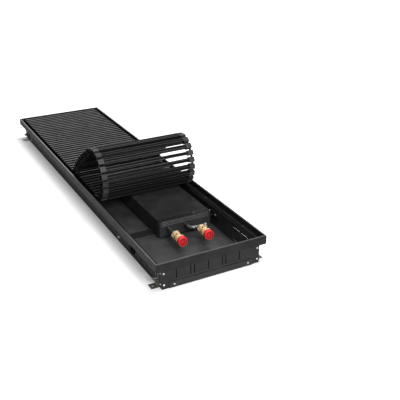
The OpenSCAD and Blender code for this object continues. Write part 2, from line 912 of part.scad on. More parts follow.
// A pan-head screw along +Z whose head rests on the sheets of thickness grip
module wall_screw(grip) {
    rotate_extrude()
        polygon([
            [0, -grip - wall_screw_tail], [wall_screw_r, -grip - wall_screw_tail], [wall_screw_r, 0],
            [wall_screw_head_r, 0], [wall_screw_head_r, wall_screw_head_h * 0.6],
            [wall_screw_head_r * 0.7, wall_screw_head_h], [0, wall_screw_head_h]
        ]);
}

module exchanger_screws() {
    color(zinc) {
        for (y = [stand_near_y, stand_far_y]) {
            translate([inner_x - sheet, tab_screw_y(y), stand_screw_z])
                rotate([0, -90, 0]) wall_screw(2 * sheet);
            translate([-wall_x, y, stand_left_screw_z]) rotate([0, -90, 0]) wall_screw(2 * sheet);
        }
        translate([inner_x - sheet, bracket_screw_y, bracket_screw_z])
            rotate([0, -90, 0]) wall_screw(2 * sheet);
    }
}

// Connections

module supply_pipe() {
    color(lacquer_light) rod_y(valve_back - pipe_in, stub_end, supply_x, axis_z, pipe_r);
}

module return_pipe() {
    color(lacquer_light) {
        rod_y(bend_start, stub_end, pack_x, axis_z, pipe_r);
        translate([pack_x + bend_r, bend_start, axis_z])
            rotate([0, 0, 180]) rotate_extrude(angle = 90) translate([bend_r, 0]) circle(r = pipe_r);
        translate([pack_x + bend_r, bend_end, axis_z])
            rotate_extrude(angle = 90) translate([bend_r, 0]) circle(r = pipe_r);
        rod_y(valve_back - pipe_in, bend_end, return_x, axis_z, pipe_r);
    }
}

module union_nuts() {
    color(brass_tone)
        for (x = [supply_x, return_x])
            difference() {
                hex_y(valve_back - nut_l, valve_back, x, axis_z, nut_af);
                rod_y(valve_back - nut_l - cut, valve_back + cut, x, axis_z, pipe_r + run_gap);
            }
}

// Turns its children, drawn along +Z, into a tilted spindle port at a valve
module at_port(x) {
    translate([x, port_y, axis_z]) rotate([0, -port_tilt, 0]) children();
}

// Connection thread, its turns drawn as rings, from its front end backwards
module thread(x, front) {
    step = thread_l / thread_turns;
    root = thread_r - thread_depth;
    translate([x, front, axis_z])
        rotate([-90, 0, 0])
            rotate_extrude()
                polygon(concat(
                    [[0, thread_l], [0, 0], [root, 0]],
                    [for (k = [0 : thread_turns - 2])
                        for (corner = [[thread_r, 0.35], [thread_r, 0.5], [root, 0.85], [root, 1]])
                            [corner[0], (k + corner[1]) * step]],
                    [[root, thread_l]]
                ));
}

module valve_body(x) {
    body_end = valve_back - nut_l - valve_l;
    collar_end = body_end - collar_l;
    thread_end = collar_end - thread_l;
    color(brass_tone)
        difference() {
            union() {
                rod_y(body_end, valve_back - nut_l, x, axis_z, valve_neck_r);
                rod_y(body_end + valve_neck_l, valve_back - nut_l, x, axis_z, valve_r);
                hex_y(collar_end, body_end, x, axis_z, collar_af);
                thread(x, thread_end);
                at_port(x) cylinder(r = port_r, h = port_l);
                children();
            }
            rod_y(thread_end - cut, thread_end + thread_bore_l, x, axis_z, thread_bore_r);
            at_port(x) translate([0, 0, port_l - port_bore_l])
                cylinder(r = spindle_r + run_gap, h = port_bore_l + cut);
        }
}

module supply_valve_body() {
    valve_body(supply_x);
}

module return_valve_body() {
    valve_body(return_x)
        translate([vent_x, vent_y, axis_z]) cylinder(r = vent_r - joint_gap, h = vent_seat_z - axis_z);
}

module spindle(x) {
    color(brass_tone)
        at_port(x) translate([0, 0, port_l - port_bore_l + joint_gap])
            difference() {
                cylinder(r = spindle_r, h = spindle_l);
                translate([0, 0, spindle_l - socket_l])
                    cylinder(d = socket_af / cos(30), h = socket_l + cut, $fn = 6);
            }
}

module supply_valve_spindle() {
    spindle(supply_x);
}

module return_valve_spindle() {
    spindle(return_x);
}

// Protective cap over the connection thread, with a stepped front
module cap(x) {
    inner = thread_r + cap_gap;
    front = thread_l + cap_front;
    floor_z = front - cap_recess;
    ring_z = front - cap_gap;
    ring_out = cap_ring_r + cap_ring_t;
    color(cap_red)
        translate([x, valve_back - nut_l - valve_l - collar_l - cap_gap, axis_z])
            rotate([90, 0, 0])
                rotate_extrude()
                    polygon(concat(
                        [[0, thread_l], [inner, thread_l], [inner, 0], [cap_r, 0]],
                        arc(cap_r - cap_round, front - cap_round, cap_round, 0, 90),
                        [[cap_recess_r, front], [cap_recess_r, floor_z],
                         [ring_out, floor_z], [ring_out, ring_z], [cap_ring_r, ring_z],
                         [cap_ring_r, floor_z], [0, floor_z]]
                    ));
}

module supply_cap() {
    cap(supply_x);
}

module return_cap() {
    cap(return_x);
}

module air_vent() {
    color(chrome_tone)
        translate([vent_x, vent_y, vent_seat_z])
            difference() {
                rotate_extrude()
                    polygon([
                        [0, 0], [vent_r, 0], [vent_r, vent_h * 0.35], [vent_r * 0.82, vent_h * 0.45],
                        [vent_r * 0.82, vent_h * 0.9], [vent_r * 0.7, vent_h], [0, vent_h]
                    ]);
                translate([0, 0, vent_h - bleed_h]) cylinder(r = bleed_r + run_gap, h = bleed_h + cut);
            }
}

module bleed_screw() {
    color(chrome_tone)
        translate([vent_x, vent_y, vent_seat_z + vent_h - bleed_h + joint_gap])
            difference() {
                cylinder(r = bleed_r, h = bleed_h + bleed_out);
                translate([-bleed_r - cut, -slot_w / 2, bleed_h + bleed_out - slot_l])
                    cube([2 * bleed_r + 2 * cut, slot_w, slot_l + cut]);
            }
}

module side_grommet() {
    color(moulding)
        translate([-wall_x, grommet_mid_y, grommet_z])
            rotate([0, -90, 0])
                rotate_extrude()
                    polygon([
                        [0, -sheet - grommet_back], [grommet_back_r, -sheet - grommet_back],
                        [grommet_back_r, -sheet], [grommet_neck_r, -sheet], [grommet_neck_r, 0],
                        [grommet_r, 0], [grommet_r, grommet_face * 0.4],
                        [grommet_r * 0.86, grommet_face], [grommet_recess_r, grommet_face],
                        [grommet_recess_r, membrane_t - sheet - grommet_back],
                        [0, membrane_t - sheet - grommet_back]
                    ]);
}

// Feet

// Bracket at the high-X, high-Y corner: slotted upright leg and bored foot
module foot_bracket() {
    half = foot_w / 2;
    low = bolt_z;
    color(zinc)
        difference() {
            intersection() {
                translate([0, foot_mid_y, 0])
                    along_y(foot_w)
                        polygon(concat(
                            [[foot_back + foot_t, foot_h], [foot_back, foot_h]],
                            arc(foot_back + foot_bend_r, foot_bend_r, foot_bend_r, 180, 270),
                            [[foot_reach, 0], [foot_reach, foot_t]],
                            arc(foot_back + foot_bend_r, foot_bend_r, foot_bend_r - foot_t, 270, 180)
                        ));
                translate([0, foot_mid_y, 0])
                    along_x(2 * foot_reach + 2 * cut)
                        polygon([
                            [-half, -cut], [half, -cut], [half, foot_h - foot_corner],
                            [half - foot_corner, foot_h], [-half + foot_corner, foot_h],
                            [-half, foot_h - foot_corner]
                        ]);
            }
            rod_x(wall_x, half_w, foot_mid_y, low, slot_r);
            rod_x(wall_x, half_w, foot_mid_y, low + foot_travel, slot_r);
            block([wall_x, foot_mid_y - slot_r, low], [half_w, foot_mid_y + slot_r, low + foot_travel]);
            rod_x(wall_x, foot_back + foot_t + cut, foot_mid_y, foot_low_hole_z, foot_low_hole_r);
            translate([foot_hole_x, foot_mid_y, -cut]) cylinder(r = foot_hole_r, h = foot_t + 2 * cut);
        }
}

module foot_far_right() {
    foot_bracket();
}

module foot_far_left() {
    mirror([1, 0, 0]) foot_bracket();
}

module foot_near_right() {
    mirror([0, 1, 0]) foot_bracket();
}

module foot_near_left() {
    mirror([1, 0, 0]) mirror([0, 1, 0]) foot_bracket();
}

// One wing of a wing nut, drawn along Y
module wing() {
    linear_extrude(height = wing_t, center = true)
        polygon([
            [0, 0], [wing_hub_h * 0.7, 0], [wing_rise, wing_reach * 0.75], [wing_rise, wing_reach],
            [wing_rise * 0.6, wing_reach], [0, wing_hub_r * 0.9]
        ]);
}

module foot_fasteners() {
    bore = bolt_r + run_gap;
    color(zinc)
        both_ends() both_sides()
            translate([0, foot_mid_y, bolt_z]) {
                rod_x(inner_x - bolt_head_h, inner_x, 0, 0, bolt_head_r);
                rod_x(inner_x - bolt_head_h, bolt_tip, 0, 0, bolt_r);
                difference() {
                    rod_x(washer_x, washer_x + washer_t, 0, 0, washer_r);
                    rod_x(washer_x - cut, washer_x + washer_t + cut, 0, 0, bore);
                }
                translate([washer_x + washer_t, 0, 0])
                    difference() {
                        union() {
                            rod_x(0, wing_hub_h, 0, 0, wing_hub_r);
                            wing();
                            mirror([0, 1, 0]) wing();
                        }
                        rod_x(-cut, wing_rise + cut, 0, 0, bore);
                    }
            }
}

trough();
near_end_plate();
far_end_plate();
end_plate_rivets();
left_frame_rail();
right_frame_rail();
near_frame_rail();
far_frame_rail();
frame_corner_keys();
frame_screws();
grille_rest_strips();
trough_cross_braces();
flat_grille_slats();
flat_grille_end_links();
exchanger_fins();
exchanger_end_plates();
exchanger_copper_circuit();
exchanger_cover();
exchanger_brackets();
exchanger_screws();
supply_pipe();
return_pipe();
union_nuts();
supply_valve_body();
return_valve_body();
supply_valve_spindle();
return_valve_spindle();
supply_cap();
return_cap();
air_vent();
bleed_screw();
side_grommet();
foot_near_left();
foot_near_right();
foot_far_left();
foot_far_right();
foot_fasteners();
for (i = [1 : roll_n])
    grille_link(i);
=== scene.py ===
"""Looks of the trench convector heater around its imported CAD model.

Lengths are in metres in the row frame: X across the trough, Y along it away from the valves, and
Z up. The pieces made here ride on bodies of the frame, so they move with them.
"""

import json
import math

import bpy
from mathutils import Euler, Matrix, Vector

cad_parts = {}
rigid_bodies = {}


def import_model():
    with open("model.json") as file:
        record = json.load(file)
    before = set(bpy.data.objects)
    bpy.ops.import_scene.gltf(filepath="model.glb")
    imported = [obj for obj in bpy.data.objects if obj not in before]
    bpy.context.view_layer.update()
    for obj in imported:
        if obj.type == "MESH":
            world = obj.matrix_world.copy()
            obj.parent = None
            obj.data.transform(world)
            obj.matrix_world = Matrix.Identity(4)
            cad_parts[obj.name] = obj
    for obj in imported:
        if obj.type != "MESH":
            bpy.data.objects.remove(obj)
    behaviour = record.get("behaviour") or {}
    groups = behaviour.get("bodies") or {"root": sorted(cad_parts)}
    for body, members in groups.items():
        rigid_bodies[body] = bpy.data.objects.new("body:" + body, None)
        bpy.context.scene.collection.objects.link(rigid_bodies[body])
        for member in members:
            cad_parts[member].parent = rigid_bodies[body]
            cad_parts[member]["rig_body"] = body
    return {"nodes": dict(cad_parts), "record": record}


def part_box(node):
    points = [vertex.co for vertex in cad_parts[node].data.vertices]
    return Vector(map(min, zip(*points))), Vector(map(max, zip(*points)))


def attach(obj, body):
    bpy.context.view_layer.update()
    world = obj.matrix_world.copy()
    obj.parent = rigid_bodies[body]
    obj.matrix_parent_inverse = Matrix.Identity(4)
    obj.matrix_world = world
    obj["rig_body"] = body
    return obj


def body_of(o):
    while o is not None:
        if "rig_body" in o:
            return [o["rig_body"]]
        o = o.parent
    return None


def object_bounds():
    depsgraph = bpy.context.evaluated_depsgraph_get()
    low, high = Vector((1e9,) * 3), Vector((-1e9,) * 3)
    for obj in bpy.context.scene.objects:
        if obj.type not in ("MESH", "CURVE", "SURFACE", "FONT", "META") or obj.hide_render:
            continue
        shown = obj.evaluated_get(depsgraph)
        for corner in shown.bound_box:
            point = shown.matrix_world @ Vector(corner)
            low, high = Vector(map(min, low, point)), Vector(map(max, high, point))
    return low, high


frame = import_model()
cad_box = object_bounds()
nodes = frame["nodes"]
MM = 0.001

# Camera of the photograph: place, turn in degrees, lens and sensor width in mm, and reach
CAMERA_PLACE = (-0.76815, -2.01756, 0.96767)
CAMERA_TURN = (64.609, 0.0, -28.359)
CAMERA_LENS = 60.0
CAMERA_SENSOR = 36.0
CAMERA_REACH = 100.0

# World: its strength for plain light, and how far shiny surfaces see it lifted from that to white
WHITE = (1, 1, 1, 1)
WORLD_LEVEL = 0.15
GLOSSY_LEVEL = 0.9

# Floor: colour, lift to white near the heater and away from it, the distances that go with these
# two, and the weight of a distance on the sides without a shadow
FLOOR_COLOUR = (0.8, 0.8, 0.8, 1)
FLOOR_LIFT = (0.22, 0.9)
FLOOR_LIFT_REACH = (0.005, 0.085)
LIFT_SIDE_WEIGHT = 12.0
FLOOR_SIZE = 30.0

# Lamps: place, the point each is aimed at, width and height, power in watts
LAMPS = {
    "key": ((0.4, -0.9, 3.4), (0, -0.2, 0.05), (2.0, 2.2), 60),
    "back": ((0.2, 4.2, 2.3), (0, 0, 0.05), (4.0, 1.4), 40),
    "front": ((-0.2, -3.6, 2.2), (0, -0.5, 0.05), (1.6, 1.2), 110),
}

# Depth of the orange peel in a powder coat whose peel is 1
PEEL_DEPTH = 0.03 * MM

# Nodes that are dressed alike
LINKS = sorted(n for n in nodes if n.startswith("grille_link_"))
RAILS = [side + "_frame_rail" for side in ("left", "right", "near", "far")]
PLATES = [end + "_end_plate" for end in ("near", "far")]
FEET = ["foot_" + place for place in ("near_left", "near_right", "far_left", "far_right")]
CAPS = ["supply_cap", "return_cap"]

# How far a face's normal goes along an axis: nearly all the way, mostly, half, a little, hardly
FACING = 0.9
MOSTLY_FACING = 0.7
HALF_FACING = 0.5
LEANING = 0.2
SQUARE_TO = 0.1

# Levels above which a face belongs to the slats' tops and to the frame's top lips, the level
# below which it belongs to the trough's floor, and how far a face may be off a level it lies on
SLAT_TOP_LEVEL = 81.5 * MM
LIP_LEVEL = 82.5 * MM
FLOOR_LEVEL = 10 * MM
LEVEL_ERROR = MM

# Distance from the middle plane at which the slats' moulded end blocks begin
BLOCK_START = 138.5 * MM

# Front of a cap: depths between which the walls of its rings lie, radius inside which they lie,
# depth of the floor between them, and the dark rings of painted shade on that floor, with their
# thickness each way
CAP_RING_WALLS = (0.5 * MM, 3.5 * MM)
CAP_RING_R = 12.0 * MM
CAP_FLOOR = 2.2 * MM
CAP_SHADE_RINGS = [(4.4 * MM, 5.6 * MM), (7.1 * MM, 8.3 * MM), (10.4 * MM, 11.6 * MM)]
CAP_SHADE_RING_T = 0.1 * MM
CIRCLE_STEPS = 48

# Pack's cover: its front, and how far the beads stand out there
COVER_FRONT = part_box("exchanger_cover")[0].y
BEAD_REACH = 0.6 * MM

# End plates: both faces of one, the slits of its knock-outs and the score line under them, and
# the thickness of the strips that show these: black ones behind the slits, painted shade, and a
# light one on the score line, a painted highlight
PLATE_INSIDE_Y = 662.6 * MM
PLATE_OUTSIDE_Y = 663.8 * MM
SLIT_XS = [x * MM for x in (-108, -65, -54, -11, 32, 43, 86)]
SLIT_HALF_W = 2.4 * MM
SLIT_Z = (24 * MM, 60 * MM)
SCORE_X = (-108 * MM, 86 * MM)
SCORE_Z = (22.2 * MM, 23.4 * MM)
STRIP_T = 0.25 * MM

# Strip of painted shade along the middle of a slat's underside: width and rise; and the area of
# that underside
SHADE_STRIP_W = 6.2 * MM
SHADE_STRIP_RAISE = 0.06 * MM
UNDERSIDE_AREA = 10 * 277 * MM * MM

# Fin pack: its corners, the pitch of the model's fins, how many thin fins fill each gap, and the
# thickness of these
PACK_LOW = Vector((-38.5, -391.5, 8.6)) * MM
PACK_HIGH = Vector((133.5, 623.5, 57.7)) * MM
FIN_PITCH = 6 * MM
FIN_FILL = 2
FIN_T = 0.25 * MM

# Edges of the end fins on the pack's cover: thickness and rise above it
EDGE_T = 0.7 * MM
EDGE_RISE = 0.3 * MM

# Rounded edges: width, steps and nodes; the angles from which an edge is rounded and up to which
# faces count as one
ROUNDED_EDGES = [
    (0.25 * MM, 2, ["flat_grille_slats"] + LINKS),
    (0.3 * MM, 2, ["flat_grille_end_links", "trough", "foot_fasteners"] + FEET),
    (0.35 * MM, 2, ["exchanger_cover", "exchanger_brackets"] + RAILS),
    (0.35 * MM, 3, ["union_nuts", "supply_valve_body", "return_valve_body", "side_grommet"]),
    (0.25 * MM, 3, ["air_vent", "bleed_screw"] + CAPS),
]
SHARP_ANGLE = math.radians(32)
FLAT_ANGLE = math.radians(1.5)


class Graph:
    """A node tree with short calls for the nodes used here."""

    def __init__(self, tree):
        self.tree = tree

    def add(self, kind, **settings):
        node = self.tree.nodes.new(kind)
        for key, value in settings.items():
            setattr(node, key, value)
        return node

    def link(self, source, target):
        self.tree.links.new(source, target)

    def calc(self, operation, *values):
        """Result of a calculation, where each value is a number or an output."""
        node = self.add("ShaderNodeMath", operation=operation)
        for socket, value in zip(node.inputs, values):
            if isinstance(value, (int, float)):
                socket.default_value = value
            else:
                self.link(value, socket)
        return node.outputs[0]

    def spread(self, value, low, high, to_low=0.0, to_high=1.0):
        """Value moved from the range low to high to another range, and held to that."""
        node = self.add("ShaderNodeMapRange")
        self.link(value, node.inputs["Value"])
        for key, number in (("From Min", low), ("From Max", high),
                            ("To Min", to_low), ("To Max", to_high)):
            node.inputs[key].default_value = number
        return node.outputs["Result"]


class Look(Graph):
    """A material's node tree, with its patterns in the coordinates of the object."""

    def __init__(self, name):
        self.material = bpy.data.materials.new(name)
        self.material.use_nodes = True
        super().__init__(self.material.node_tree)
        self.tree.nodes.clear()
        self.out = self.add("ShaderNodeOutputMaterial")
        self.coords = self.add("ShaderNodeTexCoord").outputs["Object"]

    def shader(self, colour, metallic, roughness, specular=0.5):
        self.bsdf = self.add("ShaderNodeBsdfPrincipled")
        self.set("Base Color", (*colour, 1))
        self.set("Metallic", metallic)
        self.set("Roughness", roughness)
        self.set("Specular IOR Level", specular)
        self.link(self.bsdf.outputs["BSDF"], self.out.inputs["Surface"])

    def set(self, key, value):
        self.bsdf.inputs[key].default_value = value

    def stretched(self, scale):
        node = self.add("ShaderNodeMapping")
        self.link(self.coords, node.inputs["Vector"])
        node.inputs["Scale"].default_value = scale
        return node.outputs["Vector"]

    def noise(self, size=1.0, detail=3.0, rough=0.5, vector=None):
        """Noise whose features are about size metres across."""
        node = self.add("ShaderNodeTexNoise")
        node.inputs["Scale"].default_value = 1 / size
        node.inputs["Detail"].default_value = detail
        node.inputs["Roughness"].default_value = rough
        self.link(vector or self.coords, node.inputs["Vector"])
        return node.outputs["Fac"]

    def cells(self, size):
        """Outputs of a pattern of cells about size metres across."""
        node = self.add("ShaderNodeTexVoronoi")
        node.inputs["Scale"].default_value = 1 / size
        self.link(self.coords, node.inputs["Vector"])
        return node.outputs

    def colour(self, pattern, first, second):
        """Base colour that goes from the first to the second by the pattern."""
        node = self.add("ShaderNodeMix", data_type="RGBA")
        self.link(pattern, node.inputs["Factor"])
        for key, value in (("A", first), ("B", second)):
            socket = [s for s in node.inputs if s.name == key and s.type == "RGBA"][0]
            socket.default_value = (*value, 1)
        mixed = [s for s in node.outputs if s.type == "RGBA"][0]
        self.link(mixed, self.bsdf.inputs["Base Color"])

    def rough(self, pattern):
        self.link(pattern, self.bsdf.inputs["Roughness"])

    def relief(self, height, depth, strength):
        """Fine relief that goes depth metres down."""
        node = self.add("ShaderNodeBump")
        node.inputs["Distance"].default_value = depth
        node.inputs["Strength"].default_value = strength
        self.link(height, node.inputs["Height"])
        self.link(node.outputs["Normal"], self.bsdf.inputs["Normal"])


def scaled(colour, factor):
    return tuple(c * factor for c in colour)


# The functions below are recipes. A pattern has a size in metres, low and high are the part of it
# that is used, and the last two numbers of rough() are the roughness at these two.


def powder_coat(name, colour, roughness, peel, specular=0.5):
    """Powder coat: orange peel, faint mottling, and a little dust."""
    g = Look(name)
    g.shader(colour, metallic=0.0, roughness=roughness, specular=specular)
    mottle = g.spread(g.noise(size=0.05, detail=4), low=0.35, high=0.68)
    g.colour(mottle, scaled(colour, 0.8), tuple(c * 1.35 + 0.004 for c in colour))
    dust = g.spread(g.noise(size=0.011, detail=6, rough=0.7), low=0.45, high=0.8)
    g.rough(g.spread(dust, 0, 1, roughness - 0.04, roughness + 0.12))
    g.relief(g.noise(size=0.0016, detail=2), depth=peel * PEEL_DEPTH, strength=0.5)
    return g.material


def anodised(name, colour, roughness, specular):
    """Extruded and anodised aluminium: fine drawing lines along the slat."""
    g = Look(name)
    g.shader(colour, metallic=0.3, roughness=roughness, specular=specular)
    lines = g.noise(detail=3, rough=0.6, vector=g.stretched((4, 220, 220)))
    mottle = g.noise(size=0.03, detail=3)
    tone = g.calc("ADD", g.calc("MULTIPLY", lines, 0.7), g.calc("MULTIPLY", mottle, 0.3))
    g.colour(g.spread(tone, low=0.35, high=0.65), scaled(colour, 0.85), scaled(colour, 1.3))
    g.rough(g.spread(mottle, 0.3, 0.7, roughness - 0.05, roughness + 0.08))
    fine = g.noise(detail=2, vector=g.stretched((40, 2200, 2200)))
    g.relief(fine, depth=0.00003, strength=0.5)
    return g.material


def moulded(name, colour, roughness, specular, grain=0.0009):
    """Moulded plastic or rubber with a fine spark-eroded grain."""
    g = Look(name)
    g.shader(colour, metallic=0.0, roughness=roughness, specular=specular)
    mottle = g.spread(g.noise(size=0.012, detail=4), low=0.35, high=0.7)
    g.colour(mottle, scaled(colour, 0.82), scaled(colour, 1.25))
    wear = g.noise(size=0.006, detail=3)
    g.rough(g.spread(wear, 0.3, 0.7, roughness - 0.05, roughness + 0.08))
    g.relief(g.cells(grain)["Distance"], depth=0.00006, strength=0.5)
    return g.material


def galvanised(name, colour, roughness):
    """Zinc with spangles of differing brightness and a dull bloom."""
    g = Look(name)
    g.shader(colour, metallic=0.85, roughness=roughness)
    spangle = g.add("ShaderNodeSeparateColor")
    g.link(g.cells(size=0.006)["Color"], spangle.inputs["Color"])
    bloom = g.noise(size=0.02, detail=5, rough=0.65)
    tone = g.calc("ADD", g.calc("MULTIPLY", spangle.outputs["Red"], 0.5),
                  g.calc("MULTIPLY", bloom, 0.5))
    g.colour(g.spread(tone, low=0.2, high=0.8), scaled(colour, 0.7), scaled(colour, 1.3))
    g.rough(g.spread(bloom, 0.3, 0.75, roughness - 0.1, roughness + 0.15))
    g.relief(g.noise(size=0.0015, detail=3), depth=0.00004, strength=0.5)
    return g.material


def turned_brass(name, colour, roughness):
    """Machined brass: fine turning rings round Y and slight tarnish."""
    g = Look(name)
    g.shader(colour, metallic=0.35, roughness=roughness)
    tarnish = g.spread(g.noise(size=0.009, detail=5, rough=0.65), low=0.4, high=0.75)
    g.colour(tarnish, colour, tuple(c * k for c, k in zip(colour, (0.85, 0.74, 0.6))))
    g.rough(g.spread(tarnish, 0, 1, roughness - 0.04, roughness + 0.16))
    rings = g.noise(detail=2, vector=g.stretched((60, 3200, 60)))
    g.relief(rings, depth=0.00003, strength=0.6)
    return g.material


def drawn_copper(name, colour, roughness):
    """Copper tube with brown oxide clouds."""
    g = Look(name)
    g.shader(colour, metallic=1.0, roughness=roughness)
    clouds = g.spread(g.noise(size=0.014, detail=5, rough=0.6), low=0.35, high=0.7)
    g.colour(clouds, colour, scaled(colour, 0.45))
    g.rough(g.spread(clouds, 0, 1, roughness, roughness + 0.25))
    marks = g.noise(detail=2, vector=g.stretched((900, 30, 900)))
    g.relief(marks, depth=0.00002, strength=0.5)
    return g.material


def dark_tube(name, colour, roughness):
    """Dark lacquered steel tube with a clear sheen and fine draw marks."""
    g = Look(name)
    g.shader(colour, metallic=0.6, roughness=roughness)
    g.set("Coat Weight", 0.5)
    g.set("Coat Roughness", 0.12)
    clouds = g.noise(size=0.02, detail=4)
    g.colour(g.spread(clouds, low=0.35, high=0.7), colour, scaled(colour, 1.8))
    g.rough(g.spread(clouds, 0.3, 0.7, roughness - 0.05, roughness + 0.1))
    g.relief(g.noise(size=0.004, detail=2), depth=0.00003, strength=0.4)
    return g.material


def polished(name, colour, roughness):
    """Chrome with faint handling smears."""
    g = Look(name)
    g.shader(colour, metallic=1.0, roughness=roughness)
    smear = g.noise(size=0.004, detail=5, rough=0.7)
    g.colour(g.spread(smear, low=0.4, high=0.8), colour, scaled(colour, 0.8))
    g.rough(g.spread(smear, 0.35, 0.75, roughness, roughness + 0.14))
    g.relief(g.noise(size=0.0012, detail=3), depth=0.00001, strength=0.4)
    return g.material


def glossy_red(name, colour, roughness):
    """Glossy polyethylene cap: a clear sheen and faint flow marks."""
    g = Look(name)
    g.shader(colour, metallic=0.0, roughness=roughness)
    g.set("Subsurface Weight", 0.08)
    g.set("Subsurface Radius", (0.004, 0.0012, 0.0008))
    flow = g.noise(size=0.006, detail=4)
    g.colour(g.spread(flow, low=0.3, high=0.75), colour, scaled(colour, 0.78))
    g.rough(g.spread(flow, 0.3, 0.7, roughness - 0.04, roughness + 0.1))
    g.relief(g.noise(size=0.0025, detail=3), depth=0.00004, strength=0.4)
    return g.material


# Each look: its function, its colour, its roughness, and what that function takes beyond these
LOOKS = {
    "dark_lacquer": (powder_coat, (0.013, 0.0134, 0.0145), 0.33, dict(peel=0.05, specular=0.45)),
    "floor_lacquer": (powder_coat, (0.042, 0.0422, 0.043), 0.38, dict(peel=0.0)),
    "plate_lacquer": (powder_coat, (0.0095, 0.0098, 0.0105), 0.4, dict(peel=0.1, specular=0.35)),
    "bead_lacquer": (powder_coat, (0.08, 0.08, 0.082), 0.4, dict(peel=0.1, specular=0.6)),
    "fin_edge": (powder_coat, (0.035, 0.035, 0.036), 0.45, dict(peel=0.1, specular=0.4)),
    "rail_lacquer": (powder_coat, (0.0115, 0.0118, 0.0125), 0.5, dict(peel=0.9, specular=0.2)),
    "lip_lacquer": (powder_coat, (0.035, 0.0355, 0.037), 0.38, dict(peel=0.3, specular=0.45)),
    "fin_black": (powder_coat, (0.024, 0.024, 0.025), 0.42, dict(peel=0.7)),
    "slat_anodised": (anodised, (0.009, 0.009, 0.0094), 0.42, dict(specular=0.3)),
    "slat_under": (anodised, (0.06, 0.06, 0.0605), 0.42, dict(specular=0.5)),
    "slat_shaded": (moulded, (0.006, 0.006, 0.0064), 0.6, dict(specular=0.15)),
    "black_moulding": (moulded, (0.006, 0.006, 0.0063), 0.6, dict(specular=0.0)),
    "block_grey": (moulded, (0.027, 0.027, 0.028), 0.5, dict(specular=0.35)),
    "groove_shadow": (moulded, (0.003, 0.003, 0.0032), 0.7, dict(specular=0.08)),
    "black_rubber": (moulded, (0.003, 0.003, 0.0032), 0.7, dict(specular=0.05, grain=0.0006)),
    "copper_tube": (drawn_copper, (0.6, 0.27, 0.14), 0.3, {}),
    "yellow_brass": (turned_brass, (1.0, 0.78, 0.45), 0.32, {}),
    "dark_steel": (dark_tube, (0.06, 0.06, 0.064), 0.3, {}),
    "zinc_steel": (galvanised, (0.14, 0.137, 0.125), 0.45, {}),
    "rivet_grey": (galvanised, (0.6, 0.6, 0.59), 0.42, {}),
    "vent_chrome": (polished, (0.5, 0.5, 0.5), 0.28, {}),
    "red_cap_plastic": (glossy_red, (1.0, 0.042, 0.05), 0.32, {}),
    "red_cap_groove": (glossy_red, (0.3, 0.01, 0.014), 0.45, {}),
    "red_cap_shaded": (glossy_red, (0.1, 0.004, 0.006), 0.5, {}),
}
MATERIALS = {name: make(name, colour, roughness, **more)
             for name, (make, colour, roughness, more) in LOOKS.items()}

# Nodes with another look than the one that their material slot names
LOOK_SWAPS = {
    **dict.fromkeys(RAILS, "rail_lacquer"),
    **dict.fromkeys(PLATES, "plate_lacquer"),
    "exchanger_cover": "fin_black",
    "exchanger_screws": "rivet_grey",
}


def dress_nodes():
    """Gives each node of the model its look."""
    for part in frame["record"]["subparts"]:
        node = nodes[part["node"]]
        look = LOOK_SWAPS.get(part["node"], part["material_slot"])
        node.data.materials.clear()
        node.data.materials.append(MATERIALS[look])


def dress_faces(name, look, chosen):
    """Gives another look to the faces of a node that chosen(out, at) picks.

    Both arguments, the face's normal and its centre, are in the row frame.
    """
    node = nodes[name]
    node.data.materials.append(MATERIALS[look])
    index = len(node.data.materials) - 1
    turn = node.matrix_world.to_3x3()
    for face in node.data.polygons:
        if chosen(turn @ face.normal, node.matrix_world @ face.center):
            face.material_index = index


def dress_grille():
    """Painted shade on the sides under the flat slats' tops; on the roll's end blocks, one plastic
    in a lighter grey, painted light, with black ends, painted shade.
    """
    dress_faces("flat_grille_slats", "slat_shaded",
                lambda out, at: out.z < FACING or at.z < SLAT_TOP_LEVEL)
    for link in LINKS:
        # Grey on the end blocks is painted light and black on their ends painted shade, on one
        # plastic
        dress_faces(link, "block_grey", lambda out, at: abs(at.x) > BLOCK_START)
        dress_faces(link, "black_moulding",
                    lambda out, at: abs(at.x) > BLOCK_START and abs(out.x) > MOSTLY_FACING)


def dress_rails():
    """A painted highlight on the lip on top of each rail: a lighter copy of the rail's coat."""
    for rail in RAILS:
        dress_faces(rail, "lip_lacquer", lambda out, at: out.z > HALF_FACING and at.z > LIP_LEVEL)


def dress_trough():
    """Painted light on the floor, a lighter copy of the trough's lacquer, and outer walls as dull
    as the rails.
    """
    dress_faces("trough", "floor_lacquer", lambda out, at: out.z > FACING and at.z < FLOOR_LEVEL)
    dress_faces("trough", "rail_lacquer",
                lambda out, at: abs(out.x) > FACING and out.x * at.x > 0)


def dress_cover():
    """Painted shade on the top of the pack's cover, and a painted highlight on the upper sides of
    the beads of its front.
    """
    dress_faces("exchanger_cover", "groove_shadow",
                lambda out, at: out.z > FACING and abs(at.z - PACK_HIGH.z) < LEVEL_ERROR)
    dress_faces("exchanger_cover", "bead_lacquer",
                lambda out, at: out.z > LEANING and at.y < COVER_FRONT + BEAD_REACH)


def dress_cap(name):
    """A darker red on the walls of the rings in a cap's front: painted shade."""
    low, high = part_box(name)
    axis_x, axis_z = (low.x + high.x) / 2, (low.z + high.z) / 2
    first, last = (low.y + depth for depth in CAP_RING_WALLS)
    dress_faces(name, "red_cap_shaded",
                lambda out, at: first < at.y < last and abs(out.y) < HALF_FACING
                and math.hypot(at.x - axis_x, at.z - axis_z) < CAP_RING_R)


def mesh_piece(name, verts, faces, look, body):
    """A visual mesh in the frame's own place that rides on a body."""
    mesh = bpy.data.meshes.new(name)
    mesh.from_pydata(verts, [], faces)
    mesh.materials.append(MATERIALS[look])
    piece = bpy.data.objects.new(name, mesh)
    bpy.context.collection.objects.link(piece)
    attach(piece, body)


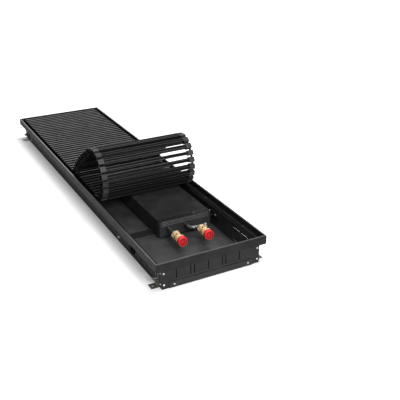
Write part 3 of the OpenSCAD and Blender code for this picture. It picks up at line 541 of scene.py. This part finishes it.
def box_faces(first):
    """Faces of a box whose eight corners start at index first, in the order of box_corners."""
    return [tuple(first + i for i in quad) for quad in
            ((0, 1, 3, 2), (4, 6, 7, 5), (0, 4, 5, 1), (2, 3, 7, 6), (0, 2, 6, 4), (1, 5, 7, 3))]


def box_corners(low, high):
    return [(x, y, z) for y in (low[1], high[1])
            for x in (low[0], high[0]) for z in (low[2], high[2])]


def box_piece(name, boxes, look):
    """A piece of the fixed heater made of boxes, each given by its low and its high corner."""
    verts, faces = [], []
    for low, high in boxes:
        faces += box_faces(len(verts))
        verts += box_corners(low, high)
    mesh_piece(name, verts, faces, look, "heater")


def cover_fin_edges():
    """Edges of the end fins on the top of the pack's cover, at the pack's real pitch, in a lighter
    copy of the fins' black: a painted highlight.
    """
    pitch = FIN_PITCH / (FIN_FILL + 1)
    boxes = []
    for k in range(1, math.floor((PACK_LOW.y - COVER_FRONT) / pitch)):
        y = PACK_LOW.y - k * pitch
        boxes.append(((PACK_LOW.x, y - EDGE_T / 2, PACK_HIGH.z - STRIP_T),
                      (PACK_HIGH.x, y + EDGE_T / 2, PACK_HIGH.z + EDGE_RISE)))
    box_piece("cover_fin_edges", boxes, "fin_edge")


def thin_fins():
    """Thin fins between those of the model, so that the pack has its real fine pitch."""
    count = math.floor((PACK_HIGH.y - PACK_LOW.y) / FIN_PITCH)
    first = (PACK_LOW.y + PACK_HIGH.y - (count - 1) * FIN_PITCH) / 2
    boxes = []
    for k in range(count - 1):
        for j in range(1, FIN_FILL + 1):
            y = first + (k + j / (FIN_FILL + 1)) * FIN_PITCH
            boxes.append(((PACK_LOW.x, y - FIN_T / 2, PACK_LOW.z),
                          (PACK_HIGH.x, y + FIN_T / 2, PACK_HIGH.z)))
    box_piece("thin_fins", boxes, "fin_black")


def end_plate_details():
    """Black strips of painted shade behind the knock-outs' slits, and the score line under these
    in a lighter copy of the lip's coat, a painted highlight.
    """
    for side, end in ((-1, "near"), (1, "far")):
        ys = sorted((side * PLATE_INSIDE_Y, side * (PLATE_INSIDE_Y - STRIP_T)))
        slits = [((x - SLIT_HALF_W, ys[0], SLIT_Z[0]), (x + SLIT_HALF_W, ys[1], SLIT_Z[1]))
                 for x in SLIT_XS]
        box_piece(end + "_slit_shade_strips", slits, "groove_shadow")
        ys = sorted((side * (PLATE_OUTSIDE_Y - STRIP_T), side * (PLATE_OUTSIDE_Y + STRIP_T)))
        score = ((SCORE_X[0], ys[0], SCORE_Z[0]), (SCORE_X[1], ys[1], SCORE_Z[1]))
        box_piece(end + "_score_line", [score], "lip_lacquer")


def ring_solid(first, centre, radii, ys):
    """Corners and faces of a flat ring round an axis along Y, counted from index first."""
    verts, faces = [], []
    for step in range(CIRCLE_STEPS):
        turn = 2 * math.pi * step / CIRCLE_STEPS
        start, after = first + 4 * step, first + 4 * ((step + 1) % CIRCLE_STEPS)
        for radius, y in ((radii[0], ys[0]), (radii[1], ys[0]),
                          (radii[1], ys[1]), (radii[0], ys[1])):
            verts.append((centre[0] + radius * math.cos(turn), y,
                          centre[1] + radius * math.sin(turn)))
        faces += [(start + i, start + (i + 1) % 4, after + (i + 1) % 4, after + i)
                  for i in range(4)]
    return verts, faces


def cap_shade_rings(name):
    """Dark red rings of painted shade on the floor between the rings in a cap's front."""
    low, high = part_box(name)
    centre = ((low.x + high.x) / 2, (low.z + high.z) / 2)
    level = low.y + CAP_FLOOR
    ys = (level - CAP_SHADE_RING_T, level + CAP_SHADE_RING_T)
    verts, faces = [], []
    for radii in CAP_SHADE_RINGS:
        ring, sides = ring_solid(len(verts), centre, radii, ys)
        verts += ring
        faces += sides
    mesh_piece(name + "_grooves", verts, faces, "red_cap_groove", body_of(nodes[name])[0])


def flat_sides(node):
    """Area and faces of each flat side of a slat, by its direction and its distance outward."""
    place, turn = node.matrix_world, node.matrix_world.to_3x3()
    sides = {}
    for face in node.data.polygons:
        out, centre = turn @ face.normal, place @ face.center
        if abs(out.x) < SQUARE_TO and abs(centre.x) < BLOCK_START / 2:
            key = (round(out.y, 2), round(out.z, 2), round(out.dot(centre), 4))
            area, faces = sides.get(key, (0, []))
            sides[key] = (area + face.area, faces + [face])
    return sides.values()


def dress_slat_light_and_shade():
    """Painted shade on each rolled slat's sides and along the middle of its underside, and a
    painted highlight on the rest of that underside, a lighter copy of the slat's aluminium.
    """
    for name in LINKS:
        node = nodes[name]
        place = node.matrix_world
        faces = min(flat_sides(node), key=lambda side: abs(side[0] - UNDERSIDE_AREA))[1]
        under = (place.to_3x3() @ faces[0].normal).normalized()
        dress_faces(name, "slat_shaded",
                    lambda out, at: abs(at.x) < BLOCK_START and out.dot(under) < FACING)
        dress_faces(name, "slat_under",
                    lambda out, at: abs(at.x) < BLOCK_START and out.dot(under) > FACING)
        # The dark strip along the middle of the underside is painted shade, not a groove in the
        # slat.
        across = under.cross(Vector((1, 0, 0)))
        corners = [place @ node.data.vertices[i].co for face in faces for i in face.vertices]
        low, high = min(c.x for c in corners), max(c.x for c in corners)
        middle = sum(c.dot(across) for c in corners) / len(corners)
        level = under.dot(corners[0])
        verts = [Vector((x, 0, 0)) + across * (middle + side * SHADE_STRIP_W / 2)
                 + under * (level + rise)
                 for side in (-1, 1) for x in (low, high) for rise in (-SHADE_STRIP_RAISE, SHADE_STRIP_RAISE)]
        mesh_piece(name + "_groove", verts, box_faces(0), "groove_shadow", body_of(node)[0])


def soften_edges(name, width, steps):
    """Rounds a node's sharp edges by modifiers, so that they catch the light."""
    node = nodes[name]
    flat = node.modifiers.new("merge_flats", "DECIMATE")
    flat.decimate_type = "DISSOLVE"
    flat.angle_limit = FLAT_ANGLE
    bevel = node.modifiers.new("edges", "BEVEL")
    bevel.width = width
    bevel.segments = steps
    bevel.limit_method = "ANGLE"
    bevel.angle_limit = SHARP_ANGLE
    bevel.use_clamp_overlap = True
    bevel.harden_normals = True


def make_camera():
    """The photograph's camera, fitted to the corners of the frame."""
    data = bpy.data.cameras.new("photo_camera")
    data.lens = CAMERA_LENS
    data.sensor_width = CAMERA_SENSOR
    data.sensor_fit = "HORIZONTAL"
    data.clip_end = CAMERA_REACH
    camera = bpy.data.objects.new("photo_camera", data)
    camera.location = CAMERA_PLACE
    camera.rotation_euler = Euler([math.radians(a) for a in CAMERA_TURN])
    bpy.context.collection.objects.link(camera)
    bpy.context.scene.camera = camera


def lift_distance(g):
    """Distance of a floor point from the heater's outline.

    The shadow falls to the side of -X, where the distance is the plain one. On the other sides it
    is weighted up, so that the floor there is white close to the heater: painted light that takes
    the heater's shadow away there.
    """
    axes = g.add("ShaderNodeSeparateXYZ")
    g.link(g.coords, axes.inputs[0])
    half_x, half_y = cad_box[1][0], cad_box[1][1]
    squares = []
    for axis, edge, weight in (("X", -half_x, -1.0), ("X", half_x, LIFT_SIDE_WEIGHT),
                               ("Y", -half_y, -LIFT_SIDE_WEIGHT), ("Y", half_y, LIFT_SIDE_WEIGHT)):
        past = g.calc("MULTIPLY", g.calc("SUBTRACT", axes.outputs[axis], edge), weight)
        past = g.calc("MAXIMUM", past, 0)
        squares.append(g.calc("MULTIPLY", past, past))
    by_x, by_y = g.calc("ADD", *squares[:2]), g.calc("ADD", *squares[2:])
    return g.calc("SQRT", g.calc("ADD", by_x, by_y))


def make_floor():
    """Pale floor that keeps the shadow; what the camera sees of it is lifted to white."""
    half = FLOOR_SIZE / 2
    corners = [(-half, -half, 0), (half, -half, 0), (half, half, 0), (-half, half, 0)]
    mesh = bpy.data.meshes.new("studio_floor")
    mesh.from_pydata(corners, [], [(0, 1, 2, 3)])
    floor = bpy.data.objects.new("studio_floor", mesh)
    bpy.context.collection.objects.link(floor)
    g = Look("floor_white")
    diffuse = g.add("ShaderNodeBsdfDiffuse")
    diffuse.inputs["Color"].default_value = FLOOR_COLOUR
    lift = g.add("ShaderNodeEmission")
    path = g.add("ShaderNodeLightPath").outputs
    seen = g.calc("ADD", path["Is Camera Ray"], path["Is Transmission Ray"])
    away = g.spread(lift_distance(g), *FLOOR_LIFT_REACH, *FLOOR_LIFT)
    g.link(g.calc("MULTIPLY", seen, away), lift.inputs["Strength"])
    both = g.add("ShaderNodeAddShader")
    g.link(diffuse.outputs[0], both.inputs[0])
    g.link(lift.outputs[0], both.inputs[1])
    g.link(both.outputs[0], g.out.inputs["Surface"])
    mesh.materials.append(g.material)


def make_world():
    """White for the camera, nearly white in shiny surfaces, and low for all other light."""
    world = bpy.data.worlds.new("studio_world")
    bpy.context.scene.world = world
    world.use_nodes = True
    g = Graph(world.node_tree)
    back = g.tree.nodes["Background"].inputs
    back["Color"].default_value = WHITE
    path = g.add("ShaderNodeLightPath").outputs
    seen = g.calc("MAXIMUM", path["Is Camera Ray"], path["Is Transmission Ray"])
    shiny = g.calc("MULTIPLY_ADD", path["Is Glossy Ray"], GLOSSY_LEVEL, seen)
    g.link(g.spread(shiny, 0.0, 1.0, WORLD_LEVEL, 1.0), back["Strength"])


def make_lights():
    """Lamps above, behind and before the heater."""
    for name, (place, aim, size, power) in LAMPS.items():
        data = bpy.data.lights.new(name, "AREA")
        data.shape = "RECTANGLE"
        data.size, data.size_y = size
        data.energy = power
        lamp = bpy.data.objects.new(name, data)
        lamp.location = place
        lamp.rotation_euler = (Vector(aim) - Vector(place)).to_track_quat("-Z", "Y").to_euler()
        bpy.context.collection.objects.link(lamp)


make_camera()
make_floor()
make_world()
make_lights()
dress_nodes()
dress_grille()
dress_rails()
dress_trough()
dress_cover()
cover_fin_edges()
for cap in CAPS:
    dress_cap(cap)
    cap_shade_rings(cap)
end_plate_details()
thin_fins()
dress_slat_light_and_shade()
for edge_width, edge_steps, names in ROUNDED_EDGES:
    for node_name in names:
        soften_edges(node_name, edge_width, edge_steps)

bpy.context.scene.view_settings.view_transform = "Standard"
